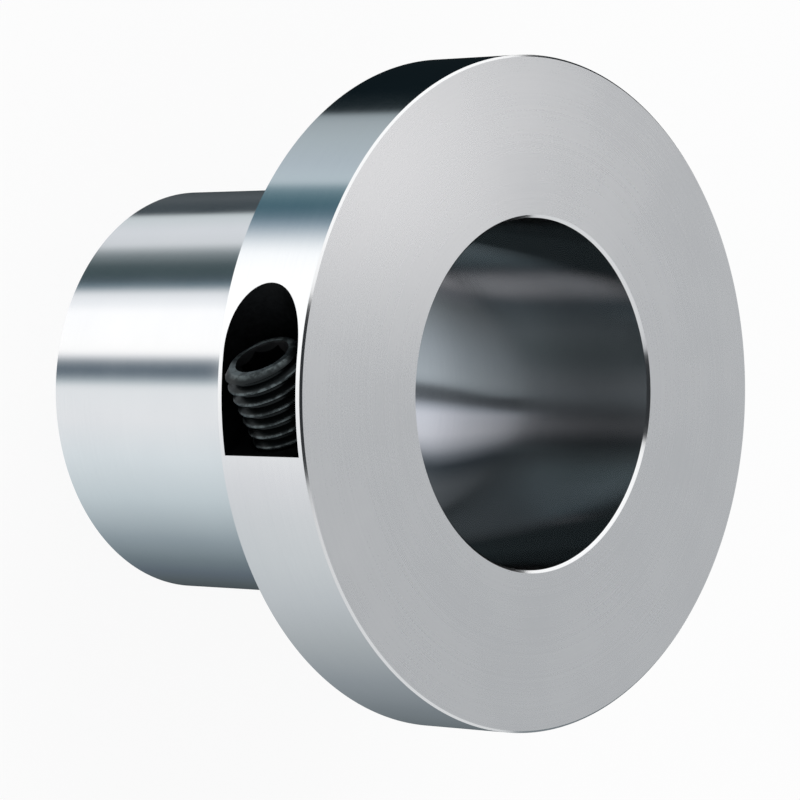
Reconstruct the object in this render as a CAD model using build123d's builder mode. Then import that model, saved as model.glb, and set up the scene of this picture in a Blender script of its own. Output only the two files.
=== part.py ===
from build123d import *
import os
from math import radians, sqrt, tan

# Shaft locking assembly of the hydraulic kind. A flanged steel sleeve holds a closed ring
# chamber between two thin walls. A screw on a chord of the flange drives a sealed piston
# into the chamber, and the walls swell to grip the shaft inside and the hub outside.
#
# Millimetres. +Z runs along the shaft, from the sleeve's free end up to the flange's face.
# The part stands on the sleeve's end, and the origin is at the centre of that end.
# The screw lies along X, on the -Y side of the bore, and is driven in towards +X.

os.makedirs("parts", exist_ok=True)

# Bore, double wall of the sleeve, and flange
shaft_diameter = 50.0
inner_wall = 2.2
chamber_gap = 0.6
outer_wall = 2.2
flange_height = 18.0
flange_thickness = 16.0
overall_length = 68.0
edge_chamfer = 0.5
bore_chamfer = 0.5
corner_fillet = 0.8

# Lands that close the chamber at its ends, and the ring groove that feeds it
face_land = 3.0
front_land = 2.5
rear_land = 5.0
ring_groove_depth = 1.2
ring_groove_width = 4.0
fit_clearance = 0.02

# Pressure screw, and where it lies in the flange
thread_diameter = 12.0
thread_pitch = 1.75
thread_length = 19.0
point_diameter = 8.5
point_length = 8.0
socket_across_flats = 6.0
socket_depth = 6.0
socket_chamfer = 0.9
root_land = 0.15
groove_overshoot = 0.1
point_chamfer = 0.5
screw_offset = 6.5
screw_inset = 0.6
screw_turns = 4
thread_clearance = 0.05

# Pocket that the screw stands in
pocket_clearance = 1.0
pocket_depth = 11.9
hole_chamfer = 0.5

# Piston, its seals and its bore
piston_bore = 10.0
piston_length = 10.0
piston_clearance = 0.03
piston_chamfer = 0.5
point_gap = 0.05
seal_groove_depth = 1.3
seal_groove_end = 2.4
backup_ring_width = 1.0
seal_clearance = 0.02
lead_in = 0.8
drill_point_angle = 118.0

# Feed hole from the piston bore to the ring chamber
feed_diameter = 3.0
feed_margin = 0.3

# Sizes that follow from these
shaft_radius = shaft_diameter / 2
recess_radius = shaft_radius + inner_wall
seat_radius = recess_radius + chamber_gap
sleeve_radius = seat_radius + outer_wall
flange_radius = sleeve_radius + flange_height
flange_back = overall_length - flange_thickness
inner_sleeve_length = overall_length - face_land
chamber_top = inner_sleeve_length - front_land
screw_height = overall_length - flange_thickness / 2

# The screw lies on a chord of the flange, and the rim crosses its axis at chord_half
screw_chord = sleeve_radius + screw_offset
chord_half = sqrt(flange_radius**2 - screw_chord**2)
screw_end = chord_half - screw_inset
pocket_floor = chord_half - pocket_depth
thread_radius = thread_diameter / 2
thread_depth = 0.6134 * thread_pitch
end_chamfer = thread_depth + root_land
screw_stroke = screw_turns * thread_pitch
thread_end = -screw_end + thread_length
point_end = thread_end + point_length
hole_radius = thread_radius + thread_clearance
pocket_radius = thread_radius + pocket_clearance

bore_radius = piston_bore / 2
piston_radius = bore_radius - piston_clearance
piston_start = point_end + point_gap
piston_end = piston_start + piston_length
tapped_end = piston_start
medium_start = piston_end + screw_stroke + point_gap
feed_radius = feed_diameter / 2
feed_x = medium_start + feed_radius + feed_margin
bore_end = feed_x + feed_radius + feed_margin
drill_point = bore_radius / tan(radians(drill_point_angle / 2))
point_radius = point_diameter / 2
socket_radius = socket_across_flats / 2
socket_drill_point = socket_radius / tan(radians(drill_point_angle / 2))

seal_radius = bore_radius - seal_groove_depth
seal_section = seal_groove_depth - piston_clearance - seal_clearance
seal_groove_start = piston_end - seal_groove_end - seal_section - backup_ring_width - 3 * seal_clearance
seal_groove_stop = piston_end - seal_groove_end

# The screw's axis, and the plane through it that its turned pieces are drawn on:
# x along the screw, y out from its axis
screw_axis = Axis((0, -screw_chord, screw_height), (1, 0, 0))
screw_section = Plane(origin=(0, -screw_chord, screw_height), x_dir=(1, 0, 0), z_dir=(0, -1, 0))


def across_screw(x):
    """Plane square to the screw's axis at x, facing +X, with its own x towards the rim."""
    return Plane(origin=(x, -screw_chord, screw_height), x_dir=(0, -1, 0), z_dir=(1, 0, 0))


# Flanged sleeve: flange and outer wall turned from one bar
with BuildPart() as flanged_sleeve:
    with BuildSketch(Plane.XZ):
        with BuildLine():
            Polyline(
                (seat_radius, 0),
                (sleeve_radius, 0),
                (sleeve_radius, flange_back),
                (flange_radius, flange_back),
                (flange_radius, overall_length),
                (shaft_radius, overall_length),
                (shaft_radius, inner_sleeve_length),
                (seat_radius, inner_sleeve_length),
                close=True,
            )
        make_face()
    revolve(axis=Axis.Z)
    circles = flanged_sleeve.edges().filter_by(GeomType.CIRCLE)
    rim_edges = circles.filter_by(lambda e: abs(e.radius - flange_radius) < 0.01)
    chamfer(rim_edges, edge_chamfer)
    circles = flanged_sleeve.edges().filter_by(GeomType.CIRCLE)
    end_edge = circles.filter_by(lambda e: abs(e.radius - sleeve_radius) < 0.01).sort_by(Axis.Z)[0]
    chamfer(end_edge, edge_chamfer)
    circles = flanged_sleeve.edges().filter_by(GeomType.CIRCLE)
    corner_edge = circles.filter_by(lambda e: abs(e.radius - sleeve_radius) < 0.01).sort_by(Axis.Z)[-1]
    fillet(corner_edge, corner_fillet)
    circles = flanged_sleeve.edges().filter_by(GeomType.CIRCLE)
    mouth_edge = circles.filter_by(lambda e: abs(e.radius - shaft_radius) < 0.01).sort_by(Axis.Z)[-1]
    chamfer(mouth_edge, bore_chamfer)
    # Ring groove inside the flange, which feeds the chamber all round
    with BuildSketch(Plane.XZ):
        with Locations((seat_radius, screw_height)):
            Rectangle(2 * ring_groove_depth, ring_groove_width)
    revolve(axis=Axis.Z, mode=Mode.SUBTRACT)
    # Pocket: half round about the screw, with straight walls out through the rim
    with BuildSketch(across_screw(-pocket_floor)):
        Circle(pocket_radius)
        Rectangle(flange_radius, 2 * pocket_radius, align=(Align.MIN, Align.CENTER))
    extrude(amount=-flange_radius, mode=Mode.SUBTRACT)
    # Screw hole, run-in and piston bore with its drill point, in one line
    with BuildSketch(screw_section):
        with BuildLine():
            Polyline(
                (-pocket_floor - hole_chamfer, 0),
                (-pocket_floor - hole_chamfer, hole_radius + 2 * hole_chamfer),
                (-pocket_floor + hole_chamfer, hole_radius),
                (tapped_end - lead_in, hole_radius),
                (tapped_end - lead_in + hole_radius - bore_radius, bore_radius),
                (bore_end, bore_radius),
                (bore_end + drill_point, 0),
                close=True,
            )
        make_face()
    revolve(axis=screw_axis, mode=Mode.SUBTRACT)
    # Feed hole, drilled from inside the sleeve out to the end of the piston bore
    with BuildSketch(Plane(origin=(feed_x, -screw_chord, screw_height), x_dir=(1, 0, 0), z_dir=(0, 1, 0))):
        Circle(feed_radius)
    extrude(amount=screw_chord - shaft_radius + 2 * feed_radius, mode=Mode.SUBTRACT)
flanged_sleeve.part.label = "flanged_sleeve"
export_step(flanged_sleeve.part, "parts/flanged_sleeve.step")

# Inner sleeve: the bore's thin wall, with a long shallow recess outside between two lands
with BuildPart() as inner_sleeve:
    with BuildSketch(Plane.XZ):
        with BuildLine():
            Polyline(
                (shaft_radius, 0),
                (seat_radius - fit_clearance, 0),
                (seat_radius - fit_clearance, rear_land),
                (recess_radius, rear_land),
                (recess_radius, chamber_top),
                (seat_radius - fit_clearance, chamber_top),
                (seat_radius - fit_clearance, inner_sleeve_length),
                (shaft_radius, inner_sleeve_length),
                close=True,
            )
        make_face()
    revolve(axis=Axis.Z)
    circles = inner_sleeve.edges().filter_by(GeomType.CIRCLE)
    mouth_edge = circles.filter_by(lambda e: abs(e.radius - shaft_radius) < 0.01).sort_by(Axis.Z)[0]
    chamfer(mouth_edge, bore_chamfer)
inner_sleeve.part.label = "inner_sleeve"
export_step(inner_sleeve.part, "parts/inner_sleeve.step")

# Pressure medium: the fluid in the chamber, the ring groove, the feed hole and the bore's end
with BuildPart() as pressure_medium:
    with BuildSketch(screw_section):
        with BuildLine():
            Polyline(
                (medium_start, 0),
                (medium_start, bore_radius - fit_clearance),
                (bore_end, bore_radius - fit_clearance),
                (bore_end + drill_point - 2 * fit_clearance, 0),
                close=True,
            )
        make_face()
    revolve(axis=screw_axis)
    with BuildSketch(Plane(origin=(feed_x, -screw_chord, screw_height), x_dir=(1, 0, 0), z_dir=(0, 1, 0))):
        Circle(feed_radius - fit_clearance)
    extrude(amount=screw_chord - shaft_radius + 2 * feed_radius)
    with BuildSketch(Plane.XZ):
        Rectangle(seat_radius - fit_clearance, overall_length, align=(Align.MIN, Align.MIN))
    revolve(axis=Axis.Z, mode=Mode.SUBTRACT)
    with BuildSketch(Plane.XZ):
        with BuildLine():
            Polyline(
                (recess_radius + fit_clearance, rear_land + fit_clearance),
                (seat_radius - fit_clearance, rear_land + fit_clearance),
                (seat_radius - fit_clearance, chamber_top - fit_clearance),
                (recess_radius + fit_clearance, chamber_top - fit_clearance),
                close=True,
            )
        make_face()
    revolve(axis=Axis.Z)
    with BuildSketch(Plane.XZ):
        with Locations((seat_radius - fit_clearance, screw_height)):
            Rectangle(
                ring_groove_depth,
                ring_groove_width - 2 * fit_clearance,
                align=(Align.MIN, Align.CENTER),
            )
    revolve(axis=Axis.Z)
pressure_medium.part.label = "pressure_medium"
export_step(pressure_medium.part, "parts/pressure_medium.step")

# Piston: a short plunger with one seal groove near its wet end
with BuildPart() as pressure_piston:
    with BuildSketch(screw_section):
        with BuildLine():
            Polyline(
                (piston_start, 0),
                (piston_start, piston_radius - piston_chamfer),
                (piston_start + piston_chamfer, piston_radius),
                (seal_groove_start, piston_radius),
                (seal_groove_start, seal_radius),
                (seal_groove_stop, seal_radius),
                (seal_groove_stop, piston_radius),
                (piston_end - piston_chamfer, piston_radius),
                (piston_end, piston_radius - piston_chamfer),
                (piston_end, 0),
                close=True,
            )
        make_face()
    revolve(axis=screw_axis)
pressure_piston.part.label = "pressure_piston"
export_step(pressure_piston.part, "parts/pressure_piston.step")

# Backup ring: stiff plastic, on the dry side of the groove
backup_start = seal_groove_start + seal_clearance
with BuildPart() as piston_backup_ring:
    with BuildSketch(screw_section):
        with Locations((backup_start, seal_radius + seal_clearance)):
            Rectangle(
                backup_ring_width,
                seal_section - seal_clearance,
                align=(Align.MIN, Align.MIN),
            )
    revolve(axis=screw_axis)
piston_backup_ring.part.label = "piston_backup_ring"
export_step(piston_backup_ring.part, "parts/piston_backup_ring.step")

# O-ring: rubber, between the backup ring and the groove's wet wall
with BuildPart() as piston_o_ring:
    with BuildSketch(screw_section):
        with Locations(
            (
                seal_groove_stop - seal_clearance - seal_section / 2,
                seal_radius + seal_clearance + seal_section / 2,
            )
        ):
            Circle(seal_section / 2 - seal_clearance / 2)
    revolve(axis=screw_axis)
piston_o_ring.part.label = "piston_o_ring"
export_step(piston_o_ring.part, "parts/piston_o_ring.step")

# Pressure screw: hex-socket set screw with a plain point. Its thread is drawn as ridges
# one pitch apart with the real 60 degree form; the lead that joins them up is left out
flank_slope = tan(radians(30))
groove_top = 7 / 8 * thread_pitch
groove_root = groove_top - 2 * thread_depth * flank_slope
groove_mouth = groove_top + 2 * groove_overshoot * flank_slope
groove_count = int(thread_length / thread_pitch)
first_groove = -screw_end + (thread_length - (groove_count - 1) * thread_pitch) / 2
with BuildPart() as pressure_screw:
    with BuildSketch(screw_section):
        with BuildLine():
            Polyline(
                (-screw_end, 0),
                (-screw_end, thread_radius - end_chamfer),
                (-screw_end + end_chamfer, thread_radius),
                (thread_end - end_chamfer, thread_radius),
                (thread_end, thread_radius - end_chamfer),
                (thread_end, point_radius),
                (point_end - point_chamfer, point_radius),
                (point_end, point_radius - point_chamfer),
                (point_end, 0),
                close=True,
            )
        make_face()
    revolve(axis=screw_axis)
    with BuildSketch(screw_section):
        with Locations([(first_groove + k * thread_pitch, thread_radius) for k in range(groove_count)]):
            Polygon(
                (-groove_root / 2, -thread_depth),
                (groove_root / 2, -thread_depth),
                (groove_mouth / 2, groove_overshoot),
                (-groove_mouth / 2, groove_overshoot),
                align=None,
            )
    revolve(axis=screw_axis, mode=Mode.SUBTRACT)
    # Hex socket with a countersunk mouth and a drilled bottom
    with BuildSketch(across_screw(-screw_end)):
        RegularPolygon(radius=socket_across_flats / 2, side_count=6, major_radius=False)
    extrude(amount=socket_depth, mode=Mode.SUBTRACT)
    socket_bottom = -screw_end + socket_depth
    with BuildSketch(screw_section):
        with BuildLine():
            Polyline(
                (-screw_end, 0),
                (-screw_end, socket_radius + socket_chamfer),
                (-screw_end + socket_chamfer, socket_radius),
                (socket_bottom, socket_radius),
                (socket_bottom + socket_drill_point, 0),
                close=True,
            )
        make_face()
    revolve(axis=screw_axis, mode=Mode.SUBTRACT)
pressure_screw.part.label = "pressure_screw"
export_step(pressure_screw.part, "parts/pressure_screw.step")
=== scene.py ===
import math

import bpy
from mathutils import Matrix, Vector


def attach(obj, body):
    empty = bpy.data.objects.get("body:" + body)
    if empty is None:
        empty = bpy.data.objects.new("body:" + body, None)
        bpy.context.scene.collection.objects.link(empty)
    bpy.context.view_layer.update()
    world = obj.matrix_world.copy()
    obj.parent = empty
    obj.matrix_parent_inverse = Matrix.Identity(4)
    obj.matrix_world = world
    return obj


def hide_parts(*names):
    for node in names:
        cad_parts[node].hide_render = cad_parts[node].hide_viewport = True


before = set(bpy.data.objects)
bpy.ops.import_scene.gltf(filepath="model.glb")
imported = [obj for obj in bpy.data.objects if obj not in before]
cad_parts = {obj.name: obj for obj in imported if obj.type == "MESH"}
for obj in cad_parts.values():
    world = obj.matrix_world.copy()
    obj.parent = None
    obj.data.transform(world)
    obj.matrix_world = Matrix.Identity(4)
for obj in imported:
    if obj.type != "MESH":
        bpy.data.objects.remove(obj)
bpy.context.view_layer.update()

# Flanged sleeve. The flange and the outer wall are turned from one steel bar and ground
# bright, with a small chamfer on every open edge. The pocket is milled on a chord of the
# flange, and the stepped screw hole and the feed hole are drilled in after it.
shaft_radius = 0.025
seat_radius = 0.0278
sleeve_radius = 0.030
flange_radius = 0.048
flange_back = 0.052
flange_face = 0.068
face_land_start = 0.065
edge_chamfer = 0.0003
bore_chamfer = 0.0004
corner_fillet = 0.0008
fillet_steps = 6
ring_groove_depth = 0.0012
ring_groove_low = 0.058
ring_groove_high = 0.062
turned_sides = 360
turned_merge = 0.000005

screw_chord = 0.0365
screw_height = 0.060
chord_half = math.sqrt(flange_radius**2 - screw_chord**2)
pocket_depth = 0.0119
pocket_floor = chord_half - pocket_depth
pocket_radius = 0.007
pocket_sides = 128
hole_radius = 0.00605
piston_bore_radius = 0.005
hole_sides = 96
feed_radius = 0.0015
feed_depth = 0.0125
feed_sides = 48
drill_half_angle = math.radians(59)
drill_tip_radius = 0.0001


def pick(piece):
    """Only this piece is selected and active."""
    bpy.ops.object.select_all(action="DESELECT")
    piece.select_set(True)
    bpy.context.view_layer.objects.active = piece


def select_only(mesh, parts, wanted):
    """Out of edit mode, of the whole mesh only those parts are selected that are wanted."""
    for others in (mesh.vertices, mesh.edges, mesh.polygons):
        for other in others:
            other.select = False
    for part in parts:
        part.select = wanted(part)


def turn(name, outline, sides, fill):
    """A circle at the outline's first point, extruded about Z from point to point of
    (radius, height). The new piece is left in edit mode, all selected."""
    bpy.ops.object.select_all(action="DESELECT")
    radius, height = outline[0]
    bpy.ops.mesh.primitive_circle_add(
        vertices=sides, radius=radius, fill_type=fill, location=(0, 0, height)
    )
    piece = bpy.context.object
    piece.name = name
    bpy.ops.object.transform_apply(location=True, rotation=True, scale=True)
    bpy.ops.object.mode_set(mode="EDIT")
    bpy.ops.mesh.select_all(action="SELECT")
    for next_radius, next_height in outline[1:]:
        bpy.ops.mesh.extrude_region_move(
            TRANSFORM_OT_translate={"value": (0, 0, next_height - height)}
        )
        grow = next_radius / radius
        bpy.ops.transform.resize(value=(grow, grow, 1), center_override=(0, 0, next_height))
        radius, height = next_radius, next_height
    bpy.ops.mesh.select_all(action="SELECT")
    return piece


def turn_ring(name, outline, sides):
    """A turned ring about Z, whose outline closes where it began."""
    piece = turn(name, outline + outline[:1], sides, "NOTHING")
    bpy.ops.mesh.remove_doubles(threshold=turned_merge)
    bpy.ops.mesh.normals_make_consistent(inside=False)
    bpy.ops.object.mode_set(mode="OBJECT")
    return piece


def turn_solid(name, outline, sides):
    """A turned solid about Z, closed at both ends."""
    piece = turn(name, outline, sides, "NGON")
    bpy.ops.mesh.normals_make_consistent(inside=False)
    bpy.ops.object.mode_set(mode="OBJECT")
    return piece


def lay(piece, place, degrees=0, axis="Z"):
    """Turns a piece made about Z round that axis, sets it at its place and applies both."""
    pick(piece)
    turned = Matrix.Rotation(math.radians(degrees), 4, axis)
    piece.matrix_world = Matrix.Translation(place) @ turned
    bpy.ops.object.transform_apply(location=True, rotation=True, scale=True)


def lay_along_screw(piece, start=0.0):
    """Lays a piece made about Z with its Z along the screw, which points to +X."""
    lay(piece, (start, -screw_chord, screw_height), 90, "Y")


def machine(piece, tool, operation="DIFFERENCE"):
    """Cuts the tool's shape out of the piece, or joins or trims it, and puts the tool away."""
    pick(piece)
    step = piece.modifiers.new("machined", "BOOLEAN")
    step.operation = operation
    step.solver = "EXACT"
    step.material_mode = "INDEX"
    step.object = tool
    bpy.ops.object.modifier_apply(modifier=step.name)
    bpy.data.objects.remove(tool, do_unlink=True)


quarter_turn = math.radians(90)
fillet_points = [
    (
        sleeve_radius + corner_fillet * (1 - math.cos(quarter_turn * step / fillet_steps)),
        flange_back - corner_fillet * (1 - math.sin(quarter_turn * step / fillet_steps)),
    )
    for step in range(fillet_steps + 1)
]
sleeve_outline = [
    (seat_radius, 0),
    (sleeve_radius - edge_chamfer, 0),
    (sleeve_radius, edge_chamfer),
    *fillet_points,
    (flange_radius - edge_chamfer, flange_back),
    (flange_radius, flange_back + edge_chamfer),
    (flange_radius, flange_face - edge_chamfer),
    (flange_radius - edge_chamfer, flange_face),
    (shaft_radius + bore_chamfer, flange_face),
    (shaft_radius, flange_face - bore_chamfer),
    (shaft_radius, face_land_start),
    (seat_radius, face_land_start),
    (seat_radius, ring_groove_high),
    (seat_radius + ring_groove_depth, ring_groove_high),
    (seat_radius + ring_groove_depth, ring_groove_low),
    (seat_radius, ring_groove_low),
]
flanged_sleeve = turn_ring("flanged_sleeve_turned", sleeve_outline, turned_sides)

# The pocket's cutter is half round about the screw, with straight walls out past the rim.
pocket_cutter = turn_solid(
    "pocket_cutter",
    [(pocket_radius, -flange_radius - pocket_floor), (pocket_radius, -pocket_floor)],
    pocket_sides,
)
lay_along_screw(pocket_cutter)
bpy.ops.object.mode_set(mode="EDIT")
bpy.ops.mesh.select_all(action="SELECT")
bpy.ops.mesh.bisect(plane_co=(0, -screw_chord, 0), plane_no=(0, 1, 0))
bpy.ops.object.mode_set(mode="OBJECT")
select_only(
    pocket_cutter.data, pocket_cutter.data.polygons, lambda face: face.center.y < -screw_chord
)
bpy.ops.object.mode_set(mode="EDIT")
bpy.ops.mesh.extrude_region_move(TRANSFORM_OT_translate={"value": (0, -flange_radius, 0)})
bpy.ops.mesh.select_all(action="SELECT")
bpy.ops.mesh.normals_make_consistent(inside=False)
bpy.ops.object.mode_set(mode="OBJECT")

# One stepped drill makes the tapped hole and, behind it, the piston's bore. The feed hole
# meets the end of that bore from the ring groove.
screw_inset = 0.0006
thread_length = 0.019
point_length = 0.008
point_gap = 0.00005
screw_head = -chord_half + screw_inset
piston_start = screw_head + thread_length + point_length + point_gap
piston_length = 0.010
screw_stroke = 0.007
lead_in = 0.0008
hole_chamfer = 0.0005
feed_margin = 0.0003
feed_place = piston_start + piston_length + screw_stroke + point_gap + feed_radius + feed_margin
bore_end = feed_place + feed_radius + feed_margin
hole_cutter = turn_solid(
    "hole_cutter",
    [
        (hole_radius + 2 * hole_chamfer, -pocket_floor - hole_chamfer),
        (hole_radius, -pocket_floor + hole_chamfer),
        (hole_radius, piston_start - lead_in),
        (piston_bore_radius, piston_start - lead_in + hole_radius - piston_bore_radius),
        (piston_bore_radius, bore_end),
        (drill_tip_radius, bore_end + piston_bore_radius / math.tan(drill_half_angle)),
    ],
    hole_sides,
)
lay_along_screw(hole_cutter)
feed_cutter = turn_solid("feed_cutter", [(feed_radius, 0), (feed_radius, feed_depth)], feed_sides)
lay(feed_cutter, (feed_place, -screw_chord, screw_height), -90, "X")


def node(tree, kind, **settings):
    """A new node of that kind, with its settings."""
    made = tree.nodes.new(kind)
    for name, value in settings.items():
        setattr(made, name, value)
    return made


def feed(tree, value, socket):
    """Sets the socket to a number or a colour, or links another node's output to it."""
    if isinstance(value, (int, float)):
        socket.default_value = value
    elif isinstance(value, tuple):
        socket.default_value = (*value, 1)
    else:
        tree.links.new(value, socket)


def maths(tree, operation, first, second=0.0):
    """A Math node over outputs or numbers; gives its output."""
    made = node(tree, "ShaderNodeMath", operation=operation)
    feed(tree, first, made.inputs[0])
    feed(tree, second, made.inputs[1])
    return made.outputs[0]


def distance_of(tree, first, second):
    """The length of (first, second)."""
    squares = [maths(tree, "MULTIPLY", value, value) for value in (first, second)]
    return maths(tree, "POWER", maths(tree, "ADD", *squares), 0.5)


def split(tree, vector):
    """The three parts of a vector."""
    made = node(tree, "ShaderNodeSeparateXYZ")
    tree.links.new(vector, made.inputs[0])
    return made.outputs


def round_z(tree):
    """(radius, height) about Z as a vector, so that a pattern read there runs round Z, and
    the place itself."""
    place = node(tree, "ShaderNodeTexCoord").outputs["Object"]
    parts = split(tree, place)
    joined = node(tree, "ShaderNodeCombineXYZ")
    tree.links.new(distance_of(tree, parts[0], parts[1]), joined.inputs[0])
    tree.links.new(parts[2], joined.inputs[1])
    return joined.outputs[0], place


def noise_at(tree, place, scale, detail=3.0, roughness=0.6):
    """Noise read at that place, about 0 to 1."""
    made = node(tree, "ShaderNodeTexNoise")
    made.inputs["Scale"].default_value = scale
    made.inputs["Detail"].default_value = detail
    made.inputs["Roughness"].default_value = roughness
    tree.links.new(place, made.inputs["Vector"])
    return made.outputs["Fac"]


def spread(tree, value, low, high, start=0.3, stop=0.7):
    """The value, from start to stop, spread over low to high."""
    made = node(tree, "ShaderNodeMapRange")
    made.inputs["From Min"].default_value = start
    made.inputs["From Max"].default_value = stop
    made.inputs["To Min"].default_value = low
    made.inputs["To Max"].default_value = high
    tree.links.new(value, made.inputs["Value"])
    return made.outputs["Result"]


def weighed(tree, first, *others):
    """The sum of (value, weight) pairs."""
    total = maths(tree, "MULTIPLY", *first)
    for other in others:
        total = maths(tree, "ADD", total, maths(tree, "MULTIPLY", *other))
    return total


def colour_between(tree, share, first, second, **settings):
    """The first colour, turning into the second as the share goes from 0 to 1."""
    made = node(tree, "ShaderNodeMix", data_type="RGBA", **settings)
    feed(tree, share, made.inputs["Factor"])
    feed(tree, first, made.inputs["A"])
    feed(tree, second, made.inputs["B"])
    return made.outputs["Result"]


def new_finish(name, metallic):
    """A new material, its node tree and its shader."""
    finish = bpy.data.materials.new(name)
    finish.use_nodes = True
    shader = finish.node_tree.nodes["Principled BSDF"]
    shader.inputs["Metallic"].default_value = metallic
    return finish, finish.node_tree, shader


def vary(tree, shader, value, dark, light, smooth, rough, start=0.3, stop=0.7):
    """As the value goes from start to stop, the colour goes from dark to light and the
    roughness from smooth to rough."""
    share = spread(tree, value, 0.0, 1.0, start, stop)
    tree.links.new(colour_between(tree, share, dark, light), shader.inputs["Base Color"])
    tree.links.new(spread(tree, value, smooth, rough, start, stop), shader.inputs["Roughness"])


def raise_relief(tree, shader, height, strength, depth):
    """Fine relief of that depth in metres, read from the height."""
    made = node(tree, "ShaderNodeBump")
    made.inputs["Strength"].default_value = strength
    made.inputs["Distance"].default_value = depth
    tree.links.new(height, made.inputs["Height"])
    tree.links.new(made.outputs["Normal"], shader.inputs["Normal"])


def turned_steel(name, dark, light, smooth, rough, mark_scale, mark_depth):
    """Bright steel with fine tool marks round Z, faint clouding from handling, and grain."""
    finish, tree, shader = new_finish(name, 1.0)
    ring_place, place = round_z(tree)
    marks = noise_at(tree, ring_place, mark_scale, detail=4.0, roughness=0.7)
    clouds = noise_at(tree, place, 60.0, detail=4.0, roughness=0.55)
    grain = noise_at(tree, place, 2600.0, detail=2.0, roughness=0.5)
    tone = weighed(tree, (marks, 0.4), (clouds, 0.5), (grain, 0.1))
    vary(tree, shader, tone, dark, light, smooth, rough, start=0.35, stop=0.65)
    raise_relief(tree, shader, marks, strength=0.35, depth=mark_depth)
    return finish


face_steel = turned_steel(
    "ground_face_steel",
    dark=(0.76, 0.765, 0.775),
    light=(0.82, 0.825, 0.83),
    smooth=0.25,
    rough=0.30,
    mark_scale=3200,
    mark_depth=0.00000012,
)
rim_steel = turned_steel(
    "ground_rim_steel",
    dark=(0.79, 0.80, 0.81),
    light=(0.84, 0.845, 0.85),
    smooth=0.10,
    rough=0.14,
    mark_scale=2600,
    mark_depth=0.000001,
)
bore_steel = turned_steel(
    "honed_bore_steel",
    dark=(0.50, 0.52, 0.53),
    light=(0.58, 0.59, 0.60),
    smooth=0.10,
    rough=0.14,
    mark_scale=2200,
    mark_depth=0.0000002,
)
bore_shader = bore_steel.node_tree.nodes["Principled BSDF"]
bore_shader.inputs["Anisotropic"].default_value = 0.85
bore_shader.inputs["Anisotropic Rotation"].default_value = 0.25
round_bore = node(bore_steel.node_tree, "ShaderNodeTangent", direction_type="RADIAL", axis="Z")
bore_steel.node_tree.links.new(round_bore.outputs[0], bore_shader.inputs["Tangent"])


def milled_steel(name, dark, light):
    """Steel straight off the cutter: marks drawn out along Y, and a low shine."""
    finish, tree, shader = new_finish(name, 0.85)
    place = node(tree, "ShaderNodeTexCoord").outputs["Object"]
    drawn_out = node(tree, "ShaderNodeMapping")
    drawn_out.inputs["Scale"].default_value = (1.0, 0.25, 1.0)
    tree.links.new(place, drawn_out.inputs["Vector"])
    marks = noise_at(tree, drawn_out.outputs[0], 1800.0, detail=4.0, roughness=0.65)
    vary(tree, shader, marks, dark, light, smooth=0.38, rough=0.52)
    raise_relief(tree, shader, marks, strength=0.5, depth=0.00001)
    return finish


# The pocket is painted near black, as painted shade in the recess, and shows hardly any gloss.
pocket_painted_shade = milled_steel(
    "milled_pocket_painted_shade", dark=(0.004, 0.0045, 0.005), light=(0.010, 0.011, 0.012)
)
pocket_painted_shade.node_tree.nodes["Principled BSDF"].inputs["Specular IOR Level"].default_value = 0.15

on_rim, on_face, in_bore, in_pocket_shade = range(4)
end_facing = 0.9
wall_facing = 0.5
same_radius = 0.0001
for piece in (flanged_sleeve, pocket_cutter, hole_cutter, feed_cutter):
    piece.data.materials.clear()
    for finish in (rim_steel, face_steel, bore_steel, pocket_painted_shade):
        piece.data.materials.append(finish)
for face in flanged_sleeve.data.polygons:
    from_axis = math.hypot(face.center.x, face.center.y)
    if abs(face.normal.z) > end_facing:
        face.material_index = on_face
    elif from_axis < seat_radius + same_radius and abs(face.normal.z) < wall_facing:
        face.material_index = in_bore
    else:
        face.material_index = on_rim
# The walls cut by the pocket and the holes take the pocket's painted shade.
for cutter in (pocket_cutter, hole_cutter, feed_cutter):
    for face in cutter.data.polygons:
        face.material_index = in_pocket_shade
    machine(flanged_sleeve, cutter)

turned_smooth = math.radians(20)
square_on = 0.999


def finish_turned(piece, radii):
    """Smooth shading that stays true to the turned walls where they are cut: on an end face,
    each corner faces along Z, and on a wall of one of these radii, straight out from the
    axis or in to it."""
    pick(piece)
    bpy.ops.object.shade_smooth_by_angle(angle=turned_smooth)
    mesh = piece.data
    facing = [Vector(corner.vector) for corner in mesh.corner_normals]
    for face in mesh.polygons:
        middle = Vector((face.center.x, face.center.y, 0))
        from_axis = middle.length
        outward = face.normal.dot(middle) / max(from_axis, 1e-9)
        on_wall = any(abs(from_axis - radius) < same_radius for radius in radii)
        if abs(face.normal.z) > square_on:
            for corner in face.loop_indices:
                facing[corner] = face.normal.copy()
        elif abs(outward) > square_on and on_wall:
            side = math.copysign(1, outward)
            for corner in face.loop_indices:
                point = mesh.vertices[mesh.loops[corner].vertex_index].co
                facing[corner] = Vector((point.x, point.y, 0)).normalized() * side
    mesh.normals_split_custom_set(facing)


finish_turned(flanged_sleeve, (flange_radius, sleeve_radius, shaft_radius))
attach(flanged_sleeve, "housing")
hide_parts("flanged_sleeve")

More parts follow.
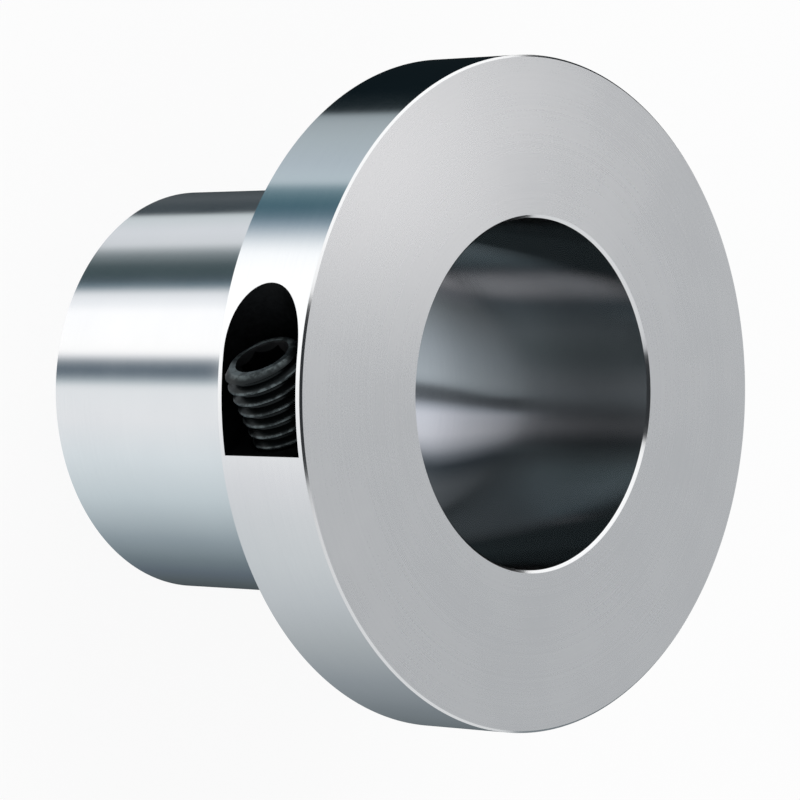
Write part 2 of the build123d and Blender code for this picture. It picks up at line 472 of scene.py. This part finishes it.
# Inner sleeve. The thin steel wall of the bore is a separate turned liner, shrunk in between
# two lands, with the long shallow recess of the pressure chamber on its outside. Its bore is
# honed, and a small chamfer leads the shaft in from the free end.
recess_radius = 0.0272
rear_land = 0.005
chamber_top = 0.0625
fit_clearance = 0.00002
liner_radius = seat_radius - fit_clearance
inner_sleeve = turn_ring(
    "inner_sleeve_turned",
    [
        (shaft_radius + bore_chamfer, 0),
        (liner_radius, 0),
        (liner_radius, rear_land),
        (recess_radius, rear_land),
        (recess_radius, chamber_top),
        (liner_radius, chamber_top),
        (liner_radius, face_land_start),
        (shaft_radius, face_land_start),
        (shaft_radius, bore_chamfer),
    ],
    turned_sides,
)
inner_sleeve.data.materials.append(bore_steel)
inner_sleeve.data.materials.append(face_steel)
for face in inner_sleeve.data.polygons:
    face.material_index = 1 if abs(face.normal.z) > end_facing else 0
finish_turned(inner_sleeve, (shaft_radius, liner_radius, recess_radius))
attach(inner_sleeve, "housing")
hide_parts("inner_sleeve")

# Pressure screw. A set screw with a hexagon socket, its thread rolled right-handed and its
# point turned plain, hardened and finished in oiled black oxide. It is driven in along the
# chord and is seen end-on in the pocket, just under the rim.
thread_radius = 0.006
thread_pitch = 0.00175
thread_depth = 0.6134 * thread_pitch
root_radius = thread_radius - thread_depth
chamfer_below_root = 0.00015
end_chamfer = thread_depth + chamfer_below_root
thread_sides = 96
thread_turns = 14
turns_ahead = 2
thread_merge = 0.000002
point_radius = 0.00425
point_chamfer = 0.0005
socket_across_flats = 0.006
socket_depth = 0.006
socket_chamfer = 0.0009
socket_sides = 6
mouth_radius = socket_across_flats / 2 + socket_chamfer
clear_by = 0.0005
overlap = 0.001

# The thread's own profile, one pitch of it: a root, a flank, a rounded crest and a flank.
flank_angle = math.radians(30)
flank_slope = math.tan(flank_angle)
flank = thread_depth * flank_slope
crest_width = thread_pitch / 8
crest_rounding = 0.00006
root_width = thread_pitch * 7 / 8 - 2 * flank
crest_start = root_width + flank
crest_end = crest_start + crest_width
profile = [
    (root_radius, 0.0),
    (root_radius, root_width),
    (thread_radius - crest_rounding, crest_start - crest_rounding * flank_slope),
    (thread_radius, crest_start),
    (thread_radius, crest_end),
    (thread_radius - crest_rounding, crest_end + crest_rounding * flank_slope),
]
first, last = 0, len(profile) - 1
bpy.ops.object.select_all(action="DESELECT")
bpy.ops.mesh.primitive_circle_add(vertices=len(profile), radius=thread_radius)
pressure_screw = bpy.context.object
pressure_screw.name = "pressure_screw_threaded"
for vertex, (out, up) in zip(pressure_screw.data.vertices, profile):
    vertex.co = (out, 0, up)
bpy.ops.object.mode_set(mode="EDIT")
bpy.ops.mesh.select_mode(type="EDGE")
bpy.ops.object.mode_set(mode="OBJECT")
select_only(
    pressure_screw.data,
    pressure_screw.data.edges,
    lambda edge: set(edge.vertices) == {first, last},
)
bpy.ops.object.mode_set(mode="EDIT")
bpy.ops.mesh.delete(type="EDGE_FACE")
bpy.ops.mesh.select_mode(type="VERT")
bpy.ops.object.mode_set(mode="OBJECT")
select_only(
    pressure_screw.data, pressure_screw.data.vertices, lambda vertex: vertex.index == last
)
last_out, last_up = profile[last]
bpy.ops.object.mode_set(mode="EDIT")
bpy.ops.mesh.extrude_region_move(
    TRANSFORM_OT_translate={"value": (root_radius - last_out, 0, thread_pitch - last_up)}
)
bpy.ops.object.mode_set(mode="OBJECT")

# The profile is wound up the screw, past both ends, and cut off flat.
pick(pressure_screw)
winding = pressure_screw.modifiers.new("winding", "SCREW")
winding.axis = "Z"
winding.angle = math.radians(360)
winding.screw_offset = thread_pitch
winding.iterations = thread_turns
winding.steps = thread_sides
winding.render_steps = thread_sides
winding.use_merge_vertices = True
winding.merge_threshold = thread_merge
winding.use_normal_calculate = True
bpy.ops.object.modifier_apply(modifier=winding.name)
lay(pressure_screw, (0, 0, -turns_ahead * thread_pitch))
bpy.ops.object.mode_set(mode="EDIT")
bpy.ops.mesh.select_all(action="SELECT")
bpy.ops.mesh.remove_doubles(threshold=thread_merge)
bpy.ops.mesh.bisect(plane_co=(0, 0, 0), plane_no=(0, 0, 1), use_fill=True, clear_inner=True)
bpy.ops.mesh.select_all(action="SELECT")
bpy.ops.mesh.bisect(
    plane_co=(0, 0, thread_length), plane_no=(0, 0, 1), use_fill=True, clear_outer=True
)
bpy.ops.mesh.select_all(action="SELECT")
bpy.ops.mesh.normals_make_consistent(inside=False)
bpy.ops.object.mode_set(mode="OBJECT")

chamfered_blank = turn_solid(
    "chamfered_blank",
    [
        (thread_radius - end_chamfer, 0),
        (thread_radius + clear_by, end_chamfer + clear_by),
        (thread_radius + clear_by, thread_length - end_chamfer - clear_by),
        (thread_radius - end_chamfer, thread_length),
    ],
    thread_sides,
)
machine(pressure_screw, chamfered_blank, "INTERSECT")
plain_point = turn_solid(
    "plain_point",
    [
        (point_radius, thread_length - overlap),
        (point_radius, thread_length + point_length - point_chamfer),
        (point_radius - point_chamfer, thread_length + point_length),
    ],
    thread_sides,
)
machine(pressure_screw, plain_point, "UNION")
hex_cutter = turn_solid(
    "hex_cutter",
    [
        (socket_across_flats / math.sqrt(3), -overlap),
        (socket_across_flats / math.sqrt(3), socket_depth),
    ],
    socket_sides,
)
machine(pressure_screw, hex_cutter)
countersink = turn_solid(
    "countersink",
    [
        (mouth_radius + clear_by, -clear_by),
        (socket_across_flats / 2, socket_chamfer),
        (socket_across_flats / 2, socket_depth),
        (
            drill_tip_radius,
            socket_depth + socket_across_flats / 2 / math.tan(drill_half_angle),
        ),
    ],
    thread_sides,
)
machine(pressure_screw, countersink)
lay_along_screw(pressure_screw, screw_head)


def black_oxide(name, dark, light, smooth, rough):
    """Black oxide over steel: near black with a low oily shine. The thread's crests and the end
    are painted brighter, as wear and as a painted highlight. The upper edge of the socket's mouth
    carries a painted highlight, brighter still."""
    finish, tree, shader = new_finish(name, 0.8)
    place = node(tree, "ShaderNodeTexCoord").outputs["Object"]
    about_screw = node(tree, "ShaderNodeMapping")
    about_screw.inputs["Location"].default_value = (-screw_head, screw_chord, -screw_height)
    tree.links.new(place, about_screw.inputs["Vector"])
    from_end, outward, upward = split(tree, about_screw.outputs[0])
    radius = distance_of(tree, outward, upward)

    # The crests and the end are painted brighter: wear, and a painted highlight with it.
    crest_from = thread_radius - 0.27 * thread_depth
    crest_to = thread_radius - 0.02 * thread_depth
    crest = spread(tree, radius, 0.0, 1.0, start=crest_from, stop=crest_to)
    end = spread(tree, from_end, 0.8, 0.0, start=0.0001, stop=0.0006)
    wear_with_highlight = maths(tree, "MAXIMUM", crest, end)
    patchy = spread(tree, noise_at(tree, place, 900.0), 0.2, 1.0, start=0.42, stop=0.58)

    # A painted highlight on the socket mouth's edge, on its upper side only.
    from_edge = maths(tree, "ABSOLUTE", maths(tree, "SUBTRACT", radius, mouth_radius))
    near_edge = spread(tree, from_edge, 1.0, 0.0, start=0.0002, stop=0.0007)
    near_end = spread(tree, from_end, 1.0, 0.0, start=0.0001, stop=0.0003)
    upper = spread(tree, outward, 0.0, 1.0, start=0.0005, stop=0.0030)
    painted_mouth_highlight = maths(tree, "MULTIPLY", maths(tree, "MULTIPLY", near_edge, near_end), upper)

    wear_highlight_colour = colour_between(tree, maths(tree, "MULTIPLY", wear_with_highlight, patchy), dark, light)
    times_brighter = 3
    bright = tuple(times_brighter * channel for channel in light)
    colour = colour_between(tree, maths(tree, "MULTIPLY", painted_mouth_highlight, patchy), wear_highlight_colour, bright)
    tree.links.new(colour, shader.inputs["Base Color"])

    clouds = noise_at(tree, place, 300.0, detail=4.0)
    grain = noise_at(tree, place, 4000.0)
    tone = weighed(tree, (clouds, 0.5), (grain, 0.5))
    shine = spread(tree, tone, smooth, rough, start=0.35, stop=0.65)
    tree.links.new(shine, shader.inputs["Roughness"])
    raise_relief(tree, shader, grain, strength=0.4, depth=0.000006)
    return finish


screw_finish = black_oxide(
    "black_oxide",
    dark=(0.009, 0.012, 0.013),
    light=(0.12, 0.145, 0.15),
    smooth=0.28,
    rough=0.36,
)
# The socket and its countersink are painted near black, as painted shade in the hollow, and show
# hardly any gloss.
socket_painted_shade = black_oxide(
    "painted_shade_socket_oxide",
    dark=(0.003, 0.0033, 0.0036),
    light=(0.005, 0.0055, 0.006),
    smooth=0.5,
    rough=0.6,
)
socket_painted_shade.node_tree.nodes["Principled BSDF"].inputs["Specular IOR Level"].default_value = 0.1
pressure_screw.data.materials.clear()
pressure_screw.data.materials.append(screw_finish)
pressure_screw.data.materials.append(socket_painted_shade)
just_within = 0.00005
behind_end = 0.00002
socket_from = screw_head + behind_end
socket_to = screw_head + 2 * socket_depth
for face in pressure_screw.data.polygons:
    from_screw_axis = math.hypot(face.center.y + screw_chord, face.center.z - screw_height)
    in_socket = socket_from < face.center.x < socket_to
    in_mouth = from_screw_axis < mouth_radius - just_within
    face.material_index = 1 if in_mouth and in_socket else 0
pick(pressure_screw)
threaded_smooth = math.radians(25)
bpy.ops.object.shade_smooth_by_angle(angle=threaded_smooth)
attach(pressure_screw, "screw")
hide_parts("pressure_screw")

# Piston. A short ground steel plunger in its bore, pushed by the screw's point. The CAD
# solid has its true shape, so it stays and takes a ground finish.


def refinish(name, finish):
    """Gives the CAD node of that name this finish."""
    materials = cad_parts[name].data.materials
    materials.clear()
    materials.append(finish)


piston_steel = milled_steel(
    "ground_piston_steel", dark=(0.52, 0.53, 0.55), light=(0.66, 0.67, 0.69)
)
refinish("pressure_piston", piston_steel)

# Seals of the piston. A black rubber O-ring keeps the pressure in, and a white plastic backup
# ring on its dry side stops it creeping into the clearance. Both are moulded, and snapped
# into the piston's groove.


def moulded(name, dark, light, smooth, rough, grain_scale, relief_depth):
    """A moulded or soft stuff: two close tones, a fine grain and an even sheen."""
    finish, tree, shader = new_finish(name, 0.0)
    place = node(tree, "ShaderNodeTexCoord").outputs["Object"]
    grain = noise_at(tree, place, grain_scale, detail=4.0)
    vary(tree, shader, grain, dark, light, smooth, rough)
    raise_relief(tree, shader, grain, strength=0.4, depth=relief_depth)
    return finish


rubber = moulded(
    "seal_rubber",
    dark=(0.018, 0.018, 0.019),
    light=(0.034, 0.034, 0.035),
    smooth=0.45,
    rough=0.6,
    grain_scale=1500,
    relief_depth=0.00001,
)
refinish("piston_o_ring", rubber)
white_plastic = moulded(
    "backup_plastic",
    dark=(0.80, 0.79, 0.76),
    light=(0.88, 0.87, 0.84),
    smooth=0.35,
    rough=0.5,
    grain_scale=900,
    relief_depth=0.000006,
)
refinish("piston_backup_ring", white_plastic)

# Pressure medium. The thick amber grease that fills the chamber, the ring groove, the feed
# hole and the end of the piston's bore. It is sealed in, and none of it shows.
grease = moulded(
    "pressure_grease",
    dark=(0.50, 0.32, 0.10),
    light=(0.66, 0.45, 0.18),
    smooth=0.2,
    rough=0.35,
    grain_scale=400,
    relief_depth=0.00002,
)
refinish("pressure_medium", grease)

# Studio floor. A plain pale sheet under the part, near white to the camera and with a soft
# shadow. Polished steel sees past it: under the bore to a pale card, and further out to the
# cards that stand round the flange's rim.
sight_bearing = 55.43
millimetres = 1000.0
degrees = 180 / math.pi
near_white = 0.9


def ramp_of(tree, share, stops):
    """A colour ramp over stops of (position, colour), from the first position to the last
    as the share goes from 0 to 1."""
    made = node(tree, "ShaderNodeValToRGB")
    tree.links.new(share, made.inputs["Fac"])
    elements = made.color_ramp.elements
    while len(elements) < len(stops):
        elements.new(0.5)
    start, end = stops[0][0], stops[-1][0]
    for element, (position, colour) in zip(elements, stops):
        element.position = (position - start) / (end - start)
    for element, (position, colour) in zip(elements, stops):
        element.color = (*colour, 1)
    return made.outputs["Color"]


def along(tree, place, direction):
    """How far the place lies along that direction."""
    made = node(tree, "ShaderNodeVectorMath", operation="DOT_PRODUCT")
    made.inputs[1].default_value = direction
    tree.links.new(place, made.inputs[0])
    return made.outputs["Value"]


def less_by(tree, start, rate, value):
    """The start, less by that rate for each unit of the value."""
    return maths(tree, "SUBTRACT", start, maths(tree, "MULTIPLY", value, rate))


def glow_of(tree, colour, strength=1.0):
    """A glow of that colour and strength."""
    made = node(tree, "ShaderNodeEmission")
    feed(tree, colour, made.inputs["Color"])
    feed(tree, strength, made.inputs["Strength"])
    return made.outputs[0]


def either(tree, choice, first, second):
    """The first shader, or the second where the choice is 1."""
    made = node(tree, "ShaderNodeMixShader")
    tree.links.new(choice, made.inputs["Fac"])
    tree.links.new(first, made.inputs[1])
    tree.links.new(second, made.inputs[2])
    return made.outputs[0]


bpy.ops.object.select_all(action="DESELECT")
bpy.ops.mesh.primitive_plane_add(size=6, location=(0, 0, 0))
floor = bpy.context.object
floor.name = "studio_floor"
floor_finish = bpy.data.materials.new("pale_floor")
floor_finish.use_nodes = True
tree = floor_finish.node_tree
tree.nodes.clear()
output = node(tree, "ShaderNodeOutputMaterial")
ray = node(tree, "ShaderNodeLightPath").outputs
paper = node(tree, "ShaderNodeBsdfDiffuse")
paper.inputs["Color"].default_value = (0.9, 0.9, 0.9, 1)
to_the_eye = maths(tree, "MAXIMUM", ray["Is Camera Ray"], ray["Is Transmission Ray"])
to_the_eye = maths(tree, "MULTIPLY", to_the_eye, near_white)
pale = either(tree, to_the_eye, paper.outputs[0], glow_of(tree, (1, 1, 1)))

# The card under the bore fans out from one side of it, with one dark ray, and its bright part
# narrows as it goes. Only the bore's own wall shows it. Here lengths are in millimetres and
# angles in degrees.
ring_place, floor_place = round_z(tree)
from_middle = split(tree, ring_place)[0]
card_margin = 0.001
under_bore = maths(tree, "LESS_THAN", from_middle, shaft_radius + card_margin)
sight = math.radians(sight_bearing)
along_sight = along(tree, floor_place, (math.cos(sight), math.sin(sight), 0))
along_sight = maths(tree, "MULTIPLY", along_sight, millimetres)
across_sight = along(tree, floor_place, (-math.sin(sight), math.cos(sight), 0))
across_sight = maths(tree, "MULTIPLY", across_sight, millimetres)
fan_centre = 10.0
near_side = maths(tree, "SUBTRACT", fan_centre, along_sight)
reach = distance_of(tree, near_side, across_sight)
fan = maths(tree, "ARCTAN2", across_sight, near_side)
fan = maths(tree, "MULTIPLY", fan, degrees)

# The bright part, as wide as it is at that reach, takes its colours from the stops between
# 4 and 53 degrees. To one side of it the stops follow the fan itself.
bright_middle = less_by(tree, start=37.1, rate=0.4, value=reach)
bright_half = less_by(tree, start=39.7, rate=0.78, value=reach)
stops_middle = 28.6
stops_half = 24.4
side_shift = -6.0
narrowed = maths(tree, "DIVIDE", maths(tree, "SUBTRACT", fan, bright_middle), bright_half)
narrowed = maths(tree, "ADD", maths(tree, "MULTIPLY", narrowed, stops_half), stops_middle)
fan = maths(tree, "MAXIMUM", narrowed, maths(tree, "ADD", fan, side_shift))
fan_stops = [
    (-120, (0.30, 0.295, 0.31)),
    (-100, (0.27, 0.265, 0.28)),
    (-88, (0.15, 0.155, 0.17)),
    (-72, (0.15, 0.165, 0.175)),
    (-50, (0.24, 0.265, 0.285)),
    (-30, (0.33, 0.365, 0.395)),
    (-11, (0.40, 0.44, 0.47)),
    (-5, (0.36, 0.40, 0.43)),
    (-1, (0.085, 0.095, 0.105)),
    (6.5, (0.085, 0.095, 0.105)),
    (11, (0.40, 0.43, 0.48)),
    (16, (0.66, 0.67, 0.73)),
    (31, (0.66, 0.66, 0.71)),
    (41, (0.45, 0.46, 0.50)),
    (49, (0.19, 0.205, 0.23)),
    (58, (0.04, 0.05, 0.06)),
    (80, (0.11, 0.12, 0.13)),
    (120, (0.10, 0.11, 0.12)),
]
fan_share = spread(tree, fan, 0.0, 1.0, start=-120, stop=120)
fan_colour = ramp_of(tree, fan_share, fan_stops)
full_reach = 20.5
most_glow = 1.65
fading = maths(tree, "MINIMUM", maths(tree, "DIVIDE", full_reach, reach), most_glow)
card = glow_of(tree, fan_colour, fading)

# What has struck the bore twice sees past the card, but not out of the far corner. It is
# dimmer towards the middle and close to the wall. What goes on after that is lost.
once_struck, twice_struck = 1.5, 2.5
twice = maths(tree, "GREATER_THAN", ray["Glossy Depth"], once_struck)
lost = maths(tree, "GREATER_THAN", ray["Glossy Depth"], twice_struck)
hub_back = 5.0
from_hub = distance_of(tree, maths(tree, "ADD", along_sight, hub_back), across_sight)
past_hub = spread(tree, from_hub, 0.5, 1.0, start=8.0, stop=17.0)
near_wall = spread(tree, from_middle, 1.0, 0.55, start=0.020, stop=0.024)
dimmed = node(tree, "ShaderNodeBsdfTransparent")
tree.links.new(maths(tree, "MULTIPLY", past_hub, near_wall), dimmed.inputs["Color"])
corner_side = 13.0
corner_end = -12.0
corner = maths(
    tree,
    "MINIMUM",
    maths(tree, "GREATER_THAN", across_sight, corner_side),
    maths(tree, "GREATER_THAN", along_sight, corner_end),
)
corner_glow = glow_of(tree, (0.10, 0.115, 0.125), near_wall)
past_card = either(tree, corner, dimmed.outputs[0], corner_glow)
past_card = either(tree, lost, past_card, glow_of(tree, (0.05, 0.065, 0.07), lost))
under = either(tree, twice, card, past_card)

# Further out lie the cards that the flange's rim shows. They stand round the part at bearings
# as the rim sees them, so a place on the floor is read as the way that it is seen. Bearings
# are in degrees from the camera's.
rim_swing = 0.62
toward_camera = maths(tree, "MULTIPLY", along_sight, -1.0)
floor_bearing = maths(tree, "ARCTAN2", across_sight, toward_camera)
from_rim = maths(tree, "SINE", maths(tree, "MULTIPLY", floor_bearing, rim_swing))
from_rim = maths(tree, "MULTIPLY", from_rim, flange_radius)
from_rim = maths(tree, "ARCSINE", maths(tree, "DIVIDE", from_rim, from_middle))
seen_bearing = maths(tree, "ADD", floor_bearing, from_rim)
rim_edges = [
    (-180, (0.10, 0.12, 0.13)),
    (-140, (0.20, 0.23, 0.25)),
    (-117, (0.30, 0.335, 0.36)),
    (-95, (0.44, 0.475, 0.495)),
    (-76, (0.575, 0.61, 0.635)),
    (-60, (0.655, 0.69, 0.71)),
    (-45, (0.71, 0.735, 0.755)),
    (-31, (0.80, 0.81, 0.835)),
    (-20, (0.90, 0.91, 0.925)),
    (0, (1.1, 1.1, 1.1)),
    (20, (1.25, 1.25, 1.25)),
    (40, (1.25, 1.25, 1.25)),
    (47, (1.18, 1.20, 1.22)),
    (51, (0.88, 0.93, 0.97)),
    (54, (0.60, 0.67, 0.73)),
    (57.5, (0.30, 0.39, 0.46)),
    (61, (0.12, 0.20, 0.25)),
    (65, (0.065, 0.14, 0.18)),
    (69.5, (0.12, 0.21, 0.25)),
    (72.5, (0.20, 0.30, 0.345)),
    (75, (0.56, 0.65, 0.70)),
    (82.5, (0.50, 0.575, 0.63)),
    (96, (0.45, 0.515, 0.55)),
    (104, (0.40, 0.455, 0.485)),
    (108.5, (0.33, 0.385, 0.41)),
    (110.5, (0.014, 0.022, 0.026)),
    (125, (0.005, 0.010, 0.013)),
    (180, (0.006, 0.010, 0.012)),
]
rim_share = spread(tree, seen_bearing, 0.0, 1.0, start=-math.pi, stop=math.pi)
rim_cards = glow_of(tree, ramp_of(tree, rim_share, rim_edges))
further_out = spread(tree, from_middle, 0.0, 1.0, start=0.062, stop=0.079)
once = maths(tree, "SUBTRACT", 1.0, twice)
clear = node(tree, "ShaderNodeBsdfTransparent").outputs[0]
around = either(tree, maths(tree, "MULTIPLY", further_out, once), clear, rim_cards)
past_floor = either(tree, under_bore, around, under)
seen = either(tree, ray["Is Glossy Ray"], pale, past_floor)
tree.links.new(seen, output.inputs["Surface"])
floor.data.materials.append(floor_finish)

# Studio light. White all round for the eye; in the steel, long white cards and dark gaps
# stand round the part, and a pale ceiling is brighter on one side. Their shades are listed
# from readings of the photograph's reflections, at bearings in degrees from the camera's.
view_back = Vector((-0.41661, -0.60461, 0.67888))
camera_bearing = sight_bearing - 180
studio = bpy.data.worlds.new("studio")
bpy.context.scene.world = studio
studio.use_nodes = True
tree = studio.node_tree
tree.nodes.clear()
output = node(tree, "ShaderNodeOutputWorld")
ray = node(tree, "ShaderNodeLightPath").outputs
toward = node(tree, "ShaderNodeTexCoord").outputs["Generated"]
toward_x, toward_y, toward_z = split(tree, toward)
bearing = maths(tree, "ARCTAN2", toward_y, toward_x)
bearing = maths(tree, "MULTIPLY", bearing, 1 / (2 * math.pi))
round_part = maths(tree, "SUBTRACT", (camera_bearing + 180) / 360, bearing)
round_part = maths(tree, "FRACT", round_part)
card_edges = [
    (-180, (0.045, 0.055, 0.06)),
    (-150, (0.09, 0.11, 0.12)),
    (-133, (0.12, 0.15, 0.18)),
    (-118, (0.18, 0.225, 0.25)),
    (-98, (0.305, 0.365, 0.40)),
    (-67, (0.605, 0.68, 0.715)),
    (-41, (0.79, 0.85, 0.88)),
    (-18, (0.905, 0.92, 0.94)),
    (0.5, (0.90, 0.925, 0.945)),
    (2.2, (0.66, 0.72, 0.75)),
    (5, (0.32, 0.38, 0.42)),
    (7.5, (0.16, 0.20, 0.24)),
    (10, (0.11, 0.145, 0.18)),
    (13, (0.16, 0.20, 0.24)),
    (16, (0.36, 0.40, 0.43)),
    (18.5, (0.92, 0.93, 0.96)),
    (20.5, (1.22, 1.21, 1.20)),
    (45, (1.22, 1.22, 1.23)),
    (50, (1.03, 1.05, 1.08)),
    (56, (0.93, 0.95, 0.98)),
    (61, (0.16, 0.235, 0.28)),
    (65, (0.075, 0.105, 0.125)),
    (70, (0.06, 0.09, 0.098)),
    (76, (0.075, 0.105, 0.115)),
    (84, (0.22, 0.26, 0.275)),
    (88, (0.42, 0.46, 0.48)),
    (92, (0.74, 0.77, 0.80)),
    (104, (0.775, 0.80, 0.84)),
    (120, (0.64, 0.70, 0.72)),
    (123.5, (0.04, 0.055, 0.065)),
    (145, (0.09, 0.105, 0.115)),
    (180, (0.045, 0.055, 0.06)),
]
cards = ramp_of(tree, round_part, card_edges)

# Seen from nearer the side, the sleeve shows the cards of the flange's rim.
side_cards = ramp_of(tree, round_part, rim_edges)
from_the_side = spread(tree, toward_z, 0.0, 1.0, start=-0.56, stop=-0.42)
outside_cards = colour_between(tree, from_the_side, cards, side_cards)

# What the bore shows after two reflections: the same cards, dimmer and softer.
bore_edges = [
    (-180, (0.315, 0.335, 0.36)),
    (-172, (0.26, 0.28, 0.30)),
    (-163, (0.14, 0.15, 0.165)),
    (-156, (0.12, 0.125, 0.14)),
    (-149, (0.18, 0.18, 0.19)),
    (-142, (0.31, 0.305, 0.32)),
    (-134, (0.30, 0.30, 0.315)),
    (-126, (0.17, 0.175, 0.185)),
    (-117, (0.09, 0.10, 0.11)),
    (-98, (0.12, 0.145, 0.155)),
    (-80, (0.175, 0.21, 0.225)),
    (-50, (0.185, 0.22, 0.235)),
    (-20, (0.09, 0.11, 0.12)),
    (-9, (0.065, 0.075, 0.085)),
    (-2, (0.17, 0.165, 0.175)),
    (5, (0.42, 0.405, 0.42)),
    (13, (0.62, 0.595, 0.615)),
    (30, (0.62, 0.595, 0.615)),
    (39, (0.38, 0.37, 0.39)),
    (49, (0.17, 0.19, 0.205)),
    (72, (0.205, 0.235, 0.25)),
    (92, (0.225, 0.25, 0.265)),
    (127, (0.205, 0.23, 0.245)),
    (146, (0.245, 0.27, 0.285)),
    (165, (0.28, 0.30, 0.32)),
    (180, (0.315, 0.335, 0.36)),
]
bore_cards = ramp_of(tree, round_part, bore_edges)

# Towards its mouth the bore shows them lower down and greener.
mouth_edges = [
    (-180, (0.31, 0.335, 0.355)),
    (-170, (0.295, 0.315, 0.33)),
    (-153, (0.20, 0.21, 0.22)),
    (-135, (0.165, 0.165, 0.175)),
    (-116, (0.07, 0.08, 0.085)),
    (-98, (0.17, 0.20, 0.21)),
    (-78, (0.285, 0.36, 0.385)),
    (-58, (0.31, 0.385, 0.42)),
    (-37, (0.25, 0.31, 0.34)),
    (-14, (0.19, 0.25, 0.28)),
    (0, (0.17, 0.20, 0.22)),
    (16, (0.20, 0.22, 0.24)),
    (28, (0.30, 0.32, 0.34)),
    (42, (0.31, 0.33, 0.35)),
    (60, (0.11, 0.145, 0.17)),
    (80, (0.18, 0.215, 0.235)),
    (99, (0.27, 0.31, 0.33)),
    (118, (0.20, 0.245, 0.25)),
    (136, (0.18, 0.215, 0.225)),
    (154, (0.26, 0.285, 0.30)),
    (172, (0.325, 0.345, 0.36)),
    (180, (0.31, 0.335, 0.355)),
]
mouth_cards = ramp_of(tree, round_part, mouth_edges)
from_the_mouth = spread(tree, toward_z, 0.0, 1.0, start=-0.661, stop=-0.643)
inside_cards = colour_between(tree, from_the_mouth, bore_cards, mouth_cards)
twice = maths(tree, "GREATER_THAN", ray["Glossy Depth"], once_struck)
low_cards = colour_between(tree, twice, outside_cards, inside_cards)

# The ceiling, from its darker side to its brighter one. A dark gap in it lies behind the
# camera.
brighter_side = (-0.83, 0.558, 0.0)
sideways = along(tree, toward, brighter_side)
sideways = spread(tree, sideways, 0.0, 1.0, start=-1.0, stop=1.0)
ceiling_stops = [
    (0.0, (0.80, 0.81, 0.82)),
    (0.25, (0.75, 0.76, 0.77)),
    (0.36, (0.50, 0.515, 0.53)),
    (0.5, (0.52, 0.535, 0.55)),
    (0.64, (0.66, 0.66, 0.67)),
    (0.72, (1.1, 1.1, 1.1)),
    (1.0, (1.2, 1.2, 1.2)),
]
ceiling = ramp_of(tree, sideways, ceiling_stops)
behind_camera = along(tree, toward, view_back)
behind_camera = spread(tree, behind_camera, 0.0, 1.0, start=0.915, stop=0.935)
ceiling_and_gap = colour_between(tree, behind_camera, ceiling, (0.028, 0.031, 0.034))
overhead = spread(tree, toward_z, 0.0, 1.0, start=-0.14, stop=0.02)
surround = colour_between(tree, overhead, low_cards, ceiling_and_gap)

# The eye and the steel see white there, and the steel sees it through the cards. What lights
# everything else is a plain pale grey.
shows_white = maths(tree, "MAXIMUM", ray["Is Camera Ray"], ray["Is Transmission Ray"])
shows_white = maths(tree, "MAXIMUM", shows_white, ray["Is Glossy Ray"])
backdrop = colour_between(tree, shows_white, (0.6, 0.6, 0.61), (1, 1, 1))
shown = colour_between(tree, ray["Is Glossy Ray"], backdrop, surround, blend_type="MULTIPLY")
sky = node(tree, "ShaderNodeBackground")
tree.links.new(shown, sky.inputs["Color"])
tree.links.new(sky.outputs[0], output.inputs["Surface"])


def toward_lamp(bearing, height):
    """The way to a lamp at that bearing and height in degrees."""
    a, h = math.radians(bearing), math.radians(height)
    return Vector((math.cos(a) * math.cos(h), math.sin(a) * math.cos(h), math.sin(h)))


def soft_lamp(name, place, aim, size, power):
    """A square soft lamp, that many metres wide and of that power in watts, and aimed."""
    panel = bpy.data.lights.new(name, "AREA")
    panel.shape = "SQUARE"
    panel.size = size
    panel.energy = power
    lamp = bpy.data.objects.new(name, panel)
    bpy.context.scene.collection.objects.link(lamp)
    lamp.location = place
    lamp.rotation_euler = (place - aim).to_track_quat("Z", "Y").to_euler()
    return lamp


part_middle = Vector((0, 0, 0.04))
key_distance, fill_distance = 1.2, 1.4
key_place = part_middle + toward_lamp(bearing=150, height=55) * key_distance
key_lamp = soft_lamp("key_lamp", key_place, part_middle, size=0.9, power=4.5)
key_lamp.visible_glossy = False
fill_place = part_middle + toward_lamp(bearing=-60, height=50) * fill_distance
fill_lamp = soft_lamp("fill_lamp", fill_place, part_middle, size=1.2, power=2.5)
fill_lamp.visible_glossy = False

# A small lamp close behind the part leaves a soft gleam on the upper left of the face.
gleam_place = Vector((0.030, 0.123, 0.2185))
gleam_aim = Vector((-0.051, -0.016, flange_face))
gleam_lamp = soft_lamp("gleam_lamp", gleam_place, gleam_aim, size=0.05, power=0.0048)
gleam_lamp.visible_camera = False
gleam_lamp.data.color = (1.0, 0.95, 0.93)

# Camera. It looks down on the flange from the screw's side, turned so that the shaft's axis
# lies nearly level in the picture.
view_right = Vector((0.37183, 0.56812, 0.73415))
view_up = Vector((-0.82956, 0.55829, -0.01187))
camera_place = Vector((-0.256058, -0.373626, 0.460446))
lens = bpy.data.cameras.new("camera")
lens.sensor_width = 36
lens.lens = 190.263
camera = bpy.data.objects.new("camera", lens)
bpy.context.scene.collection.objects.link(camera)
turned_to_view = Matrix((view_right, view_up, view_back)).transposed().to_4x4()
camera.matrix_world = Matrix.Translation(camera_place) @ turned_to_view
bpy.context.scene.camera = camera
bpy.context.scene.view_settings.view_transform = "Standard"
